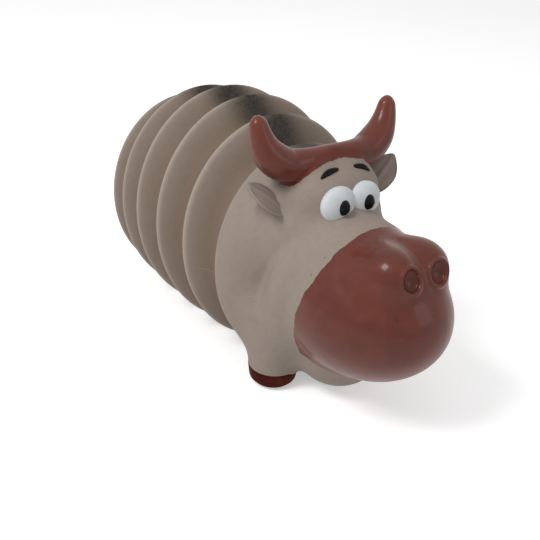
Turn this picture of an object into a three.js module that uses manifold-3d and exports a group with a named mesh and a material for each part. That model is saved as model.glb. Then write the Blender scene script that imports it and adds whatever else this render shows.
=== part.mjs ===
import Module from 'manifold-3d';
import * as THREE from 'three';
import { mergeVertices } from 'three/addons/utils/BufferGeometryUtils.js';

// A squeaky toy: a hollow moulded head, a concertina body and a squeaker in the rump
// Millimetres, +Z up; the head looks along -Y and the folds stack towards +Y

// Body and folds
const BARREL_HALF_WIDTH = 45;
const BARREL_TAPER = 5.8;
const BARREL_WIDEST_AT = 44;
const BARREL_TALL_RATIO = 1.10;
const SPINE_RISE = 8.05;
const SPINE_PEAK_AT = 56;
const FOLD_PITCH = 17.8;
const FOLD_DEPTH = 6;
const FOLD_COUNT = 5;
const CREST_SHARE = 0.16;
const SKIN = 2.2;
const CHEST_DEPTH = 21;
const RUMP_DEPTH = 8.5;
const RUMP_POWER = 2.6;
const BODY_TILT_DEG = 5.8;

// Head, legs and face
const HEAD_REACH = 75;
const LEG_LENGTH = 33.1;
const LEG_TOP_RADIUS = 12.5;
const LEG_FOOT_RADIUS = 9.3;
const HOOF_HEIGHT = 7.6;
const HOOF_SKIN = 2;
const SOLE_RADIUS = 7.2;
const HORN_RADIUS = 5.6;
const HORN_TIP_RADIUS = 2.2;
const EAR_LENGTH = 18.5;
const EAR_WIDTH = 16;
const EAR_THICKNESS = 5;
const EAR_HOLLOW = 2.2;
const EAR_SUNK = 2.1;
const EYE_WIDTH = 14.4;
const EYE_HEIGHT = 13.2;
const EYE_DEPTH = 8;
const PUPIL_WIDTH = 5.4;
const PUPIL_HEIGHT = 6.6;
const PUPIL_DEPTH = 2.6;
const BROW_RADIUS = 1;
const NOSTRIL_RADIUS = 3.6;
const NOSTRIL_DEPTH = 4.2;

// Tail and squeaker
const TAIL_RADIUS = 2.4;
const HOLE_RADIUS = 9;
const CUP_RADIUS = 8;
const CUP_LENGTH = 9;
const CUP_WALL = 1.1;
const CUP_FLANGE = 10.6;
const CUP_FLANGE_THICKNESS = 1.2;
const LID_THICKNESS = 1.4;
const LID_HOLE = 2.6;
const SEAT_LENGTH = 7;
const SEAT_BORE = 1.1;
const REED_THICKNESS = 0.35;
const REED_WIDTH = 2.2;
const REED_LENGTH = 5.6;

// Clearances
const GAP = 0.3;
const OVERRUN = 20;

// Places on the head and their radii, as shares of the head's reach
const CAST_CENTRE_SHARES = [0, -0.24, -0.053];
const FOREHEAD_SHARES = { at: [0, -0.147, 0.207], radii: [0.347, 0.28, 0.36], blend: 0.107 };
const BRIDGE_SHARES = { at: [0, -0.46, 0.06], radii: [0.28, 0.33, 0.27], blend: 0.107 };
const SNOUT_SHARES = { at: [0, -0.493, -0.093], radii: [0.367, 0.513, 0.36], blend: 0.12 };
const JAW_SHARES = { at: [0, -0.347, -0.36], radii: [0.253, 0.253, 0.253], blend: 0.053 };
const RIDGE_SHARES = { at: [0, -0.267, 0.427], radii: [0.24, 0.127, 0.12], blend: 0.08 };
const NOSE_LOBE_SHARES = { at: [0.093, -0.785, 0.187], radii: [0.113, 0.133, 0.111], blend: 0.12 };
const NOSE_CLEFT_SHARE = 0.04;
const NOSTRIL_SHARES = { at: [0.083, -0.927, 0.196], blend: 0.027 };
const PAINT_SHARE = -0.487;
const PAINT_SLOPE = -0.30;
const LEG_SHARES = [0.26, -0.16, -0.19];
const EYE_SHARES = [0.083, -0.393, 0.388];
const PUPIL_SHARES = [0.076, -0.4, 0.384];
const BROW_INNER_SHARES = [0.046, -0.331, 0.534];
const BROW_OUTER_SHARES = [0.152, -0.334, 0.5];
const EAR_ROOT_SHARES = [0.27, -0.165, 0.4];
const EAR_TIP_SHARES = [0.475, -0.16, 0.51];
const HORN_PATH_SHARES = [[0, -0.233, 0.587], [0.13, -0.23, 0.574], [0.24, -0.207, 0.563],
  [0.325, -0.196, 0.615], [0.372, -0.19, 0.7], [0.391, -0.185, 0.797]];
const ROUND_CORNER_SHARE = 0.3;
const EAR_HOLLOW_SHARE = 0.64;
const TAIL_ROOT_SHARE = 0.84;
const TAIL_SHAPE_SHARES = [[0, 0], [0.8, 0.02], [1, 0.1], [0.9, 0.55], [1.5, 0.72], [1.3, 0.86], [0, 1]];
const HORN_SWELL_SHARES = [0.62, 0.8, 1.1, 1.08, 0.8, 0.46];

// Mesh counts
const HEAD_SIDES = 56;
const MUZZLE_ROWS = 16;
const NECK_ROWS = 20;
const INNER_ROWS = 6;
const CUTTER_ROWS = 36;
const FOLD_SIDES = 40;
const FOLD_ROWS = 8;
const FOLD_INNER_ROWS = 2;
const RUMP_ROWS = 5;
const ROUND_SIDES = 20;
const BALL_ROWS = 9;
const HORN_SIDES = 12;
const CAP_ROWS = 3;
const HORN_STATIONS = 28;
const MARCH_STEPS = 60;
const HALVINGS = 24;

const wasm = await Module();
wasm.setup();

const toy = new THREE.Group();
toy.name = 'squeaky_toy';

// Materials
const latex = (color) => new THREE.MeshStandardMaterial({ color, roughness: 0.72, metalness: 0 });
const paint = (color) => new THREE.MeshStandardMaterial({ color, roughness: 0.38, metalness: 0 });
const BEIGE = 0xa89e94;
const BROWN = 0x7c4238;
const WHITE = 0xe1e4e6;
const BLACK = 0x1c1b1c;
const CLEAR_WHITE = 0xd9dad5;
const BRASS = 0xb08d4f;

// The moulding leans back so that the soles and the rear folds share the ground
const tilt = THREE.MathUtils.degToRad(BODY_TILT_DEG);

// Body profile: half width and centre height of the barrel at a place along it
const crestHalfWidth = (y) => BARREL_HALF_WIDTH
  - BARREL_TAPER * ((y - BARREL_WIDEST_AT) / BARREL_WIDEST_AT) ** 2;
const spineHeight = (y) => SPINE_RISE * (1 - ((y - SPINE_PEAK_AT) / SPINE_PEAK_AT) ** 2);
// Folds are rounded in the valleys and drawn to a narrow crest
const foldShare = (y) => (Math.hypot(Math.sin(Math.PI * y / FOLD_PITCH), CREST_SHARE) - CREST_SHARE)
  / (Math.hypot(1, CREST_SHARE) - CREST_SHARE);
const foldedHalfWidth = (y) => crestHalfWidth(y) - FOLD_DEPTH * foldShare(y);
const valley = (index) => (index + 0.5) * FOLD_PITCH;
const frontRim = valley(0);
const rearRim = valley(FOLD_COUNT);

// Distance fields in the moulding frame
function smoothMin(a, b, blend) {
  const h = THREE.MathUtils.clamp(0.5 + 0.5 * (b - a) / blend, 0, 1);
  return b * (1 - h) + a * h - blend * h * (1 - h);
}

function eggDistance(p, centre, radii) {
  const x = p.x - centre[0];
  const y = p.y - centre[1];
  const z = p.z - centre[2];
  const k0 = Math.hypot(x / radii[0], y / radii[1], z / radii[2]);
  const k1 = Math.hypot(x / radii[0] ** 2, y / radii[1] ** 2, z / radii[2] ** 2);
  return k1 > 0 ? k0 * (k0 - 1) / k1 : -Math.min(...radii);
}

function barrelDistance(p) {
  const across = Math.hypot(p.x, (p.z - spineHeight(p.y)) / BARREL_TALL_RATIO);
  return across - foldedHalfWidth(p.y);
}

const onHead = (shares) => shares.map((share) => share * HEAD_REACH);
const lobe = (shares) => ({
  at: onHead(shares.at), radii: onHead(shares.radii), blend: shares.blend * HEAD_REACH,
});
const lobes = [FOREHEAD_SHARES, BRIDGE_SHARES, SNOUT_SHARES, JAW_SHARES, RIDGE_SHARES].map(lobe);
const snout = lobe(SNOUT_SHARES);
const jaw = lobe(JAW_SHARES);
const noseLobe = lobe(NOSE_LOBE_SHARES);
const nostrilAt = onHead(NOSTRIL_SHARES.at);
const nostrilBlend = NOSTRIL_SHARES.blend * HEAD_REACH;
const chestRadii = [crestHalfWidth(0), CHEST_DEPTH, crestHalfWidth(0) * BARREL_TALL_RATIO];

// Outer skin of the head and chest, negative inside
function headDistance(p) {
  let d = p.y < 0 ? eggDistance(p, [0, 0, spineHeight(0)], chestRadii) : barrelDistance(p);
  for (const { at, radii, blend } of lobes) d = smoothMin(d, eggDistance(p, at, radii), blend);
  const half = new THREE.Vector3(Math.abs(p.x), p.y, p.z);
  const mirror = new THREE.Vector3(-half.x, p.y, p.z);
  const nose = smoothMin(eggDistance(half, noseLobe.at, noseLobe.radii),
    eggDistance(mirror, noseLobe.at, noseLobe.radii), NOSE_CLEFT_SHARE * HEAD_REACH);
  d = smoothMin(d, nose, noseLobe.blend);
  const pit = eggDistance(half, nostrilAt, [NOSTRIL_RADIUS, NOSTRIL_DEPTH, NOSTRIL_RADIUS]);
  return -smoothMin(-d, pit, nostrilBlend);
}

// Rays from inside the head; polar angle from the muzzle, turn round the long axis
const castCentre = new THREE.Vector3(...onHead(CAST_CENTRE_SHARES));
const castDirection = (polar, turn) => new THREE.Vector3(
  Math.sin(polar) * Math.cos(turn), -Math.cos(polar), Math.sin(polar) * Math.sin(turn));

function castToSkin(polar, turn, level) {
  const direction = castDirection(polar, turn);
  const reach = HEAD_REACH + BARREL_HALF_WIDTH;
  const at = (distance) => castCentre.clone().addScaledVector(direction, distance);
  let far = 0;
  for (let step = 1; step <= MARCH_STEPS; step += 1) {
    far = reach * step / MARCH_STEPS;
    if (headDistance(at(far)) > level) break;
  }
  let near = far - reach / MARCH_STEPS;
  for (let halving = 0; halving < HALVINGS; halving += 1) {
    const middle = (near + far) / 2;
    if (headDistance(at(middle)) > level) far = middle;
    else near = middle;
  }
  return at((near + far) / 2);
}

// Polar angle at which a test along one turn changes sign
function anglePassing(turn, low, high, test) {
  let near = low;
  let far = high;
  for (let halving = 0; halving < HALVINGS; halving += 1) {
    const middle = (near + far) / 2;
    if (test(castToSkin(middle, turn, 0)) > 0) far = middle;
    else near = middle;
  }
  return (near + far) / 2;
}

const pastPaint = (p) => Math.max(p.y - PAINT_SHARE * HEAD_REACH - PAINT_SLOPE * p.z,
  eggDistance(p, snout.at, snout.radii) - eggDistance(p, jaw.at, jaw.radii));
const pastRim = (p) => p.y - (frontRim - GAP / 2);
const turns = Array.from({ length: HEAD_SIDES }, (_, side) => 2 * Math.PI * side / HEAD_SIDES);
const rimAngles = turns.map((turn) => anglePassing(turn, Math.PI / 2, Math.PI * 0.8, pastRim));
const paintAngles = turns.map((turn) => anglePassing(turn, Math.PI / 12, Math.PI * 0.75, pastPaint));
const paintGapAngles = turns.map((turn, side) => {
  const reach = castToSkin(paintAngles[side], turn, 0).distanceTo(castCentre);
  return GAP / 2 / reach * Math.SQRT2;
});

// Mesh helpers
function bodyFrom(positions, indices) {
  const geometry = new THREE.BufferGeometry();
  geometry.setAttribute('position', new THREE.Float32BufferAttribute(positions, 3));
  geometry.setIndex(indices);
  return geometry;
}

// Stacks rings of equal length; an end is closed by a pole point or joins the first ring
function stackRings(rings, { firstPole, lastPole, joined } = {}) {
  const sides = rings[0].length;
  const positions = rings.flat().flatMap((p) => [p.x, p.y, p.z]);
  const indices = [];
  const rows = joined ? rings.length : rings.length - 1;
  for (let row = 0; row < rows; row += 1) {
    const next = (row + 1) % rings.length;
    for (let side = 0; side < sides; side += 1) {
      const beside = (side + 1) % sides;
      const a = row * sides + side;
      const b = row * sides + beside;
      const c = next * sides + side;
      const d = next * sides + beside;
      indices.push(a, b, c, b, d, c);
    }
  }
  const addPole = (pole, row, flip) => {
    const index = positions.length / 3;
    positions.push(pole.x, pole.y, pole.z);
    for (let side = 0; side < sides; side += 1) {
      const a = row * sides + side;
      const b = row * sides + (side + 1) % sides;
      if (flip) indices.push(index, b, a);
      else indices.push(index, a, b);
    }
  };
  if (firstPole) addPole(firstPole, 0, true);
  if (lastPole) addPole(lastPole, rings.length - 1, false);
  return bodyFrom(positions, indices);
}

// Turns a body the right way out when its rings were stacked inside out
function facingOut(geometry) {
  const position = geometry.getAttribute('position');
  const index = geometry.getIndex();
  const [a, b, c] = [new THREE.Vector3(), new THREE.Vector3(), new THREE.Vector3()];
  let volume = 0;
  for (let i = 0; i < index.count; i += 3) {
    a.fromBufferAttribute(position, index.getX(i));
    b.fromBufferAttribute(position, index.getX(i + 1));
    c.fromBufferAttribute(position, index.getX(i + 2));
    volume += a.dot(b.cross(c));
  }
  if (volume < 0) {
    for (let i = 0; i < index.count; i += 3) {
      const first = index.getX(i);
      index.setX(i, index.getX(i + 1));
      index.setX(i + 1, first);
    }
  }
  return geometry;
}

function toSolid(geometry) {
  const plain = geometry.clone();
  plain.deleteAttribute('normal');
  plain.deleteAttribute('uv');
  const merged = mergeVertices(plain);
  return new wasm.Manifold(new wasm.Mesh({
    numProp: 3,
    vertProperties: new Float32Array(merged.getAttribute('position').array),
    triVerts: new Uint32Array(merged.getIndex().array),
  }));
}

function toGeometry(solid) {
  const mesh = solid.getMesh();
  const positions = [];
  for (let i = 0; i < mesh.vertProperties.length; i += mesh.numProp) {
    positions.push(...mesh.vertProperties.slice(i, i + 3));
  }
  return bodyFrom(positions, Array.from(mesh.triVerts));
}

function add(name, geometry, material) {
  const geometryWithNormals = geometry;
  geometryWithNormals.computeVertexNormals();
  const mesh = new THREE.Mesh(geometryWithNormals, material);
  mesh.name = name;
  moulding.add(mesh);
}

// The moulding frame, tilted so that soles and rear folds meet the ground
const moulding = new THREE.Group();
toy.add(moulding);

// Head shells: rings cast outwards, then back along the inside
function headRings(from, to, rows, level, power = 1) {
  const rings = [];
  for (let row = 0; row <= rows; row += 1) {
    const share = (row / rows) ** power;
    rings.push(turns.map((turn, side) => castToSkin(
      THREE.MathUtils.lerp(from[side], to[side], share), turn, level)));
  }
  return rings;
}

const muzzleEnd = paintAngles.map((angle, side) => angle - paintGapAngles[side]);
const neckStart = paintAngles.map((angle, side) => angle + paintGapAngles[side]);
const tipRow = turns.map(() => Math.PI / (4 * MUZZLE_ROWS));
const muzzleOuter = headRings(tipRow, muzzleEnd, MUZZLE_ROWS, 0);
const muzzleInner = headRings(muzzleEnd, tipRow, INNER_ROWS, -SKIN);
add('muzzle_shell', facingOut(stackRings([...muzzleOuter, ...muzzleInner], {
  firstPole: castToSkin(0, 0, 0), lastPole: castToSkin(0, 0, -SKIN),
})), paint(BROWN));

const neckOuter = headRings(neckStart, rimAngles, NECK_ROWS, 0);
const neckInner = headRings(rimAngles, neckStart, INNER_ROWS, -SKIN);
add('front_shell', facingOut(stackRings([...neckOuter, ...neckInner], { joined: true })),
  latex(BEIGE));

// A closed head, grown by a clearance, that cuts what sits on the skin
function headCutter(growth) {
  const step = Math.PI / CUTTER_ROWS;
  const rings = [];
  for (let row = 1; row < CUTTER_ROWS; row += 1) {
    rings.push(turns.map((turn) => castToSkin(row * step, turn, growth)));
  }
  return toSolid(facingOut(stackRings(rings, {
    firstPole: castToSkin(0, 0, growth), lastPole: castToSkin(Math.PI, 0, growth),
  })));
}
const skinCutter = headCutter(GAP);

// Folds: one convolution each, from valley to valley
const barrelPoint = (halfWidth, y, turn) => new THREE.Vector3(
  halfWidth * Math.cos(turn), y,
  spineHeight(y) + BARREL_TALL_RATIO * halfWidth * Math.sin(turn));
const foldTurns = Array.from({ length: FOLD_SIDES },
  (_, side) => 2 * Math.PI * (side + 0.5) / FOLD_SIDES);
const barrelRing = (halfWidth, y) => foldTurns.map((turn) => barrelPoint(halfWidth, y, turn));

function foldSolid(index) {
  const front = valley(index) + GAP / 2;
  const rear = valley(index + 1) - GAP / 2;
  const rings = [];
  for (let row = 0; row <= FOLD_ROWS; row += 1) {
    const y = THREE.MathUtils.lerp(front, rear, row / FOLD_ROWS);
    rings.push(barrelRing(foldedHalfWidth(y), y));
  }
  for (let row = FOLD_INNER_ROWS; row >= 0; row -= 1) {
    const y = THREE.MathUtils.lerp(front, rear, row / FOLD_INNER_ROWS);
    rings.push(barrelRing(foldedHalfWidth(y) - SKIN * Math.SQRT2, y));
  }
  return toSolid(facingOut(stackRings(rings, { joined: true })));
}

// Rump: a shallow dome behind the last fold with a round hole for the squeaker
const rumpFront = rearRim + GAP / 2;
const rumpHalfWidth = (share, width) => width * (1 - share ** RUMP_POWER) ** 0.5;

function rumpSolid() {
  const outerWidth = foldedHalfWidth(rearRim);
  const innerWidth = outerWidth - SKIN * Math.SQRT2;
  const outer = [];
  const inner = [];
  for (let row = 0; row < RUMP_ROWS; row += 1) {
    const share = Math.sin(Math.PI / 2 * row / RUMP_ROWS);
    outer.push(barrelRing(rumpHalfWidth(share, outerWidth), rumpFront + share * RUMP_DEPTH));
    inner.push(barrelRing(rumpHalfWidth(share, innerWidth),
      rumpFront + share * (RUMP_DEPTH - SKIN)));
  }
  const outerEnd = new THREE.Vector3(0, rumpFront + RUMP_DEPTH, spineHeight(rumpFront + RUMP_DEPTH));
  const innerEnd = outerEnd.clone();
  innerEnd.y -= SKIN;
  return toSolid(facingOut(stackRings([...inner.reverse(), ...outer], {
    firstPole: innerEnd, lastPole: outerEnd,
  })));
}

// Ground: everything below the floor of the tilted moulding is cut flat
const legDown = new THREE.Vector3(0, Math.sin(tilt), -Math.cos(tilt));
const legTop = new THREE.Vector3(...onHead(LEG_SHARES));
const soleHeight = legTop.clone().addScaledVector(legDown, LEG_LENGTH).dot(legDown);

function groundCutter() {
  const size = 4 * HEAD_REACH;
  const box = new THREE.BoxGeometry(size, size, OVERRUN);
  box.rotateX(tilt);
  const centre = legDown.clone().multiplyScalar(soleHeight + OVERRUN / 2);
  box.translate(centre.x, centre.y, centre.z);
  return toSolid(box);
}
const ground = groundCutter();

for (let index = 0; index < FOLD_COUNT; index += 1) {
  add(`fold_${index + 1}`, toGeometry(foldSolid(index).subtract(ground)), latex(BEIGE));
}

// Lathe whose axis is turned from +Y to a given direction
function turned(profile, origin, direction) {
  const geometry = new THREE.LatheGeometry(
    profile.map(([radius, height]) => new THREE.Vector2(radius, height)), ROUND_SIDES);
  const turn = new THREE.Quaternion().setFromUnitVectors(
    new THREE.Vector3(0, 1, 0), direction.clone().normalize());
  geometry.applyQuaternion(turn);
  geometry.translate(origin.x, origin.y, origin.z);
  geometry.deleteAttribute('normal');
  geometry.deleteAttribute('uv');
  return facingOut(mergeVertices(geometry));
}

function egg(width, height, depth) {
  const ball = new THREE.SphereGeometry(1, ROUND_SIDES, BALL_ROWS);
  ball.scale(width / 2, depth / 2, height / 2);
  return ball;
}

const mirrored = (point) => new THREE.Vector3(-point.x, point.y, point.z);

// Adds a left piece and its mirror image
function addPair(name, geometry, material) {
  add(`${name}_left`, geometry, material);
  const twin = geometry.clone();
  twin.scale(-1, 1, 1);
  add(`${name}_right`, facingOut(twin), material.clone());
}

// Keeps the piece of a cut solid that stands furthest forward or is largest
function best(solid, score) {
  return solid.decompose().reduce((kept, piece) => (score(piece) > score(kept) ? piece : kept));
}
const largest = (solid) => best(solid, (piece) => piece.volume());
const foremost = (solid) => best(solid, (piece) => -piece.boundingBox().min[1]);

// Legs and hooves: a tapering leg, cut by the skin above, and a hollow hoof below
const hoofTop = LEG_LENGTH - HOOF_HEIGHT;
const legRadius = (along) => THREE.MathUtils.lerp(LEG_TOP_RADIUS, LEG_FOOT_RADIUS,
  along / LEG_LENGTH);

function legGeometry() {
  const bore = legRadius(hoofTop) - SKIN;
  const end = hoofTop - GAP;
  return turned([[0, 0], [LEG_TOP_RADIUS, 0], [legRadius(end), end], [bore, end],
    [bore, hoofTop / 2], [0, hoofTop / 2]], legTop, legDown);
}

function hoofGeometry() {
  const edge = legRadius(LEG_LENGTH);
  const round = edge - SOLE_RADIUS;
  const topOuter = legRadius(hoofTop);
  const topInner = topOuter - HOOF_SKIN;
  const floor = LEG_LENGTH - HOOF_SKIN;
  return turned([[topInner, hoofTop], [topOuter, hoofTop], [edge, LEG_LENGTH - round],
    [edge - round * ROUND_CORNER_SHARE, LEG_LENGTH - round * ROUND_CORNER_SHARE],
    [SOLE_RADIUS, LEG_LENGTH], [0, LEG_LENGTH], [0, floor], [SOLE_RADIUS - HOOF_SKIN, floor],
    [edge - HOOF_SKIN, LEG_LENGTH - round - HOOF_SKIN], [topInner, hoofTop]], legTop, legDown);
}
addPair('front_leg', toGeometry(largest(toSolid(legGeometry()).subtract(skinCutter))), latex(BEIGE));
addPair('front_hoof', toGeometry(largest(toSolid(hoofGeometry()).subtract(skinCutter))),
  paint(BROWN));

// Horns: one painted band over the poll with an upturned horn at each end
function hornBand() {
  const half = HORN_PATH_SHARES.map((shares) => new THREE.Vector3(...onHead(shares)));
  const path = new THREE.CatmullRomCurve3([...half.slice(1).reverse().map(mirrored), ...half]);
  const swell = (share) => {
    const place = Math.abs(2 * share - 1) * (HORN_SWELL_SHARES.length - 1);
    const low = Math.min(Math.floor(place), HORN_SWELL_SHARES.length - 2);
    return THREE.MathUtils.lerp(HORN_SWELL_SHARES[low], HORN_SWELL_SHARES[low + 1], place - low);
  };
  const rings = [];
  for (let station = 0; station <= HORN_STATIONS; station += 1) {
    const share = station / HORN_STATIONS;
    const centre = path.getPoint(share);
    const along = path.getTangent(share);
    const across = new THREE.Vector3(0, 1, 0).cross(along).normalize();
    const ahead = along.clone().cross(across).normalize();
    const radius = HORN_RADIUS * swell(share);
    rings.push(Array.from({ length: HORN_SIDES }, (_, step) => {
      const turn = 2 * Math.PI * step / HORN_SIDES;
      return centre.clone().addScaledVector(across, radius * Math.cos(turn))
        .addScaledVector(ahead, radius * Math.sin(turn));
    }));
  }
  const tipAt = (share, way) => path.getPoint(share)
    .addScaledVector(path.getTangent(share), way * HORN_TIP_RADIUS);
  return toSolid(facingOut(stackRings(rings, { firstPole: tipAt(0, -1), lastPole: tipAt(1, 1) })));
}
const horns = hornBand();
add('horn_band', toGeometry(largest(horns.subtract(skinCutter))), paint(BROWN));

// The same band grown by the clearance, which cuts the ears
const shifts = [[GAP, 0, 0], [-GAP, 0, 0], [0, 0, GAP], [0, 0, -GAP], [0, GAP, 0], [0, -GAP, 0]];
const hornCutter = shifts.reduce((solid, shift) => solid.add(horns.translate(shift)), horns);

// Ears: a leaf with a hollow in its front, rooted under the horn
function earSolid() {
  const root = new THREE.Vector3(...onHead(EAR_ROOT_SHARES));
  const tip = new THREE.Vector3(...onHead(EAR_TIP_SHARES));
  const along = tip.clone().sub(root).normalize();
  const turn = new THREE.Quaternion().setFromUnitVectors(new THREE.Vector3(1, 0, 0), along);
  const middle = root.clone().addScaledVector(along, EAR_LENGTH / 2 - EAR_SUNK);
  const leaf = egg(EAR_LENGTH, EAR_WIDTH, EAR_THICKNESS);
  const hollow = egg(EAR_LENGTH * EAR_HOLLOW_SHARE, EAR_WIDTH * EAR_HOLLOW_SHARE, 2 * EAR_HOLLOW);
  hollow.translate(0, -EAR_THICKNESS / 2, 0);
  for (const shape of [leaf, hollow]) {
    shape.applyQuaternion(turn);
    shape.translate(middle.x, middle.y, middle.z);
  }
  return toSolid(leaf).subtract(toSolid(hollow)).subtract(skinCutter).subtract(hornCutter);
}
addPair('ear', toGeometry(largest(earSolid())), latex(BEIGE));

// Eyes: white lenses on the skin, raised pupils on the lenses, brows above
function placedEgg(sizes, shares, growth = 0) {
  const shape = egg(...sizes.map((size) => size + 2 * growth));
  shape.translate(...onHead(shares));
  return toSolid(shape);
}

// Everything on the other side of the middle plane, less half the clearance
function otherSideCutter() {
  const block = new THREE.BoxGeometry(OVERRUN, 4 * HEAD_REACH, 4 * HEAD_REACH);
  block.translate(GAP / 2 - OVERRUN / 2, 0, 0);
  return toSolid(block);
}
const eyeSizes = [EYE_WIDTH, EYE_HEIGHT, EYE_DEPTH];
const eyeWhite = placedEgg(eyeSizes, EYE_SHARES).subtract(skinCutter).subtract(otherSideCutter());
addPair('eye_white', toGeometry(largest(eyeWhite)), paint(WHITE));

const pupil = placedEgg([PUPIL_WIDTH, PUPIL_HEIGHT, EYE_DEPTH + PUPIL_DEPTH], PUPIL_SHARES)
  .subtract(placedEgg(eyeSizes, EYE_SHARES, GAP)).subtract(skinCutter);
addPair('pupil', toGeometry(foremost(pupil)), paint(BLACK));

function browSolid() {
  const settled = (shares) => {
    const away = new THREE.Vector3(...onHead(shares)).sub(castCentre);
    return castToSkin(Math.acos(-away.y / away.length()), Math.atan2(away.z, away.x),
      BROW_RADIUS / 3);
  };
  const start = settled(BROW_INNER_SHARES);
  const end = settled(BROW_OUTER_SHARES);
  const bar = new THREE.CapsuleGeometry(BROW_RADIUS, start.distanceTo(end), CAP_ROWS, HORN_SIDES);
  bar.applyQuaternion(new THREE.Quaternion().setFromUnitVectors(
    new THREE.Vector3(0, 1, 0), end.clone().sub(start).normalize()));
  const middle = start.clone().lerp(end, 0.5);
  bar.translate(middle.x, middle.y, middle.z);
  return toSolid(bar).subtract(skinCutter).subtract(hornCutter)
    .subtract(placedEgg(eyeSizes, EYE_SHARES, GAP));
}
addPair('brow', toGeometry(largest(browSolid())), paint(BLACK));

// Rump, tail and squeaker share the axis of the squeaker's hole
const rumpTip = rumpFront + RUMP_DEPTH;
const squeakerAt = new THREE.Vector3(0, rumpTip, spineHeight(rumpTip));
const rearward = new THREE.Vector3(0, 1, 0);
const insert = (profile) => turned(profile, squeakerAt, rearward);
const hole = insert([[0, -OVERRUN], [HOLE_RADIUS, -OVERRUN], [HOLE_RADIUS, OVERRUN], [0, OVERRUN]]);
add('rump_shell', toGeometry(rumpSolid().subtract(toSolid(hole)).subtract(ground)), latex(BEIGE));

const flangeBack = GAP;
add('squeaker_cup', insert([[CUP_RADIUS, -CUP_LENGTH], [CUP_RADIUS, flangeBack],
  [CUP_FLANGE, flangeBack], [CUP_FLANGE, flangeBack + CUP_FLANGE_THICKNESS],
  [CUP_RADIUS - CUP_WALL, flangeBack + CUP_FLANGE_THICKNESS],
  [CUP_RADIUS - CUP_WALL, -CUP_LENGTH], [CUP_RADIUS, -CUP_LENGTH]]), paint(CLEAR_WHITE));

const lidRadius = CUP_RADIUS - CUP_WALL - GAP;
const lidBack = flangeBack + CUP_FLANGE_THICKNESS;
add('squeaker_lid', insert([[LID_HOLE, lidBack - LID_THICKNESS], [lidRadius, lidBack - LID_THICKNESS],
  [lidRadius, lidBack], [LID_HOLE, lidBack], [LID_HOLE, lidBack - LID_THICKNESS]]),
paint(CLEAR_WHITE));

const seatRadius = LID_HOLE - GAP;
const seatFront = lidBack - SEAT_LENGTH;
add('reed_seat', insert([[SEAT_BORE, seatFront], [seatRadius, seatFront],
  [seatRadius, lidBack], [SEAT_BORE, lidBack], [SEAT_BORE, seatFront]]), paint(CLEAR_WHITE));

const reed = new THREE.BoxGeometry(REED_WIDTH, REED_THICKNESS, REED_LENGTH);
reed.translate(squeakerAt.x, squeakerAt.y + seatFront - GAP - REED_THICKNESS / 2, squeakerAt.z);
add('reed', reed, new THREE.MeshStandardMaterial({ color: BRASS, roughness: 0.35, metalness: 1 }));

// Tail: a short moulded tail with a tuft, lying down the rump above the squeaker
function rumpSurface(height) {
  const share = height / BARREL_TALL_RATIO / foldedHalfWidth(rearRim);
  const depth = RUMP_DEPTH * (1 - share ** 2) ** (1 / RUMP_POWER);
  return squeakerAt.clone().add(new THREE.Vector3(0, depth - RUMP_DEPTH, height));
}

function tailGeometry() {
  const tip = rumpSurface(CUP_FLANGE + GAP);
  const root = rumpSurface(TAIL_ROOT_SHARE * foldedHalfWidth(rearRim) * BARREL_TALL_RATIO);
  const length = root.distanceTo(tip);
  const shape = TAIL_SHAPE_SHARES.map(([width, along]) => [width * TAIL_RADIUS, along * length]);
  return turned(shape, root, tip.clone().sub(root));
}

function rumpCutter() {
  const width = foldedHalfWidth(rearRim);
  const rings = [];
  for (let row = 0; row < RUMP_ROWS; row += 1) {
    const share = Math.sin(Math.PI / 2 * row / RUMP_ROWS);
    rings.push(barrelRing(rumpHalfWidth(share, width) + GAP,
      rumpFront + GAP + share * RUMP_DEPTH));
  }
  const front = new THREE.Vector3(0, rumpFront - OVERRUN, spineHeight(rumpFront));
  const back = new THREE.Vector3(0, rumpTip + GAP, spineHeight(rumpTip));
  return toSolid(facingOut(stackRings(rings, { firstPole: front, lastPole: back })));
}
add('tail', toGeometry(largest(toSolid(tailGeometry()).subtract(rumpCutter()))), latex(BEIGE));

// Set the tilted moulding on the ground, centred on its footprint
moulding.rotation.x = -tilt;
moulding.position.z = soleHeight;
toy.updateMatrixWorld(true);
const box = new THREE.Box3().setFromObject(toy, true);
moulding.position.y = -(box.min.y + box.max.y) / 2;
toy.updateMatrixWorld(true);

export default toy;
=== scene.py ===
# %% [markdown]
# This file dresses a squeaky toy ox, moulded in soft latex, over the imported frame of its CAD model.
# The real toy is one hollow skin with brushed-on paint and a plastic squeaker in its rump.
# Each shape could be sculpted by hand, but here it is worked out from a formula with numpy,
# because a formula can be read, checked against the CAD and changed by one number.

# %% The frame
import math

import bpy
import numpy as np
from mathutils import Matrix, Vector


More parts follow.
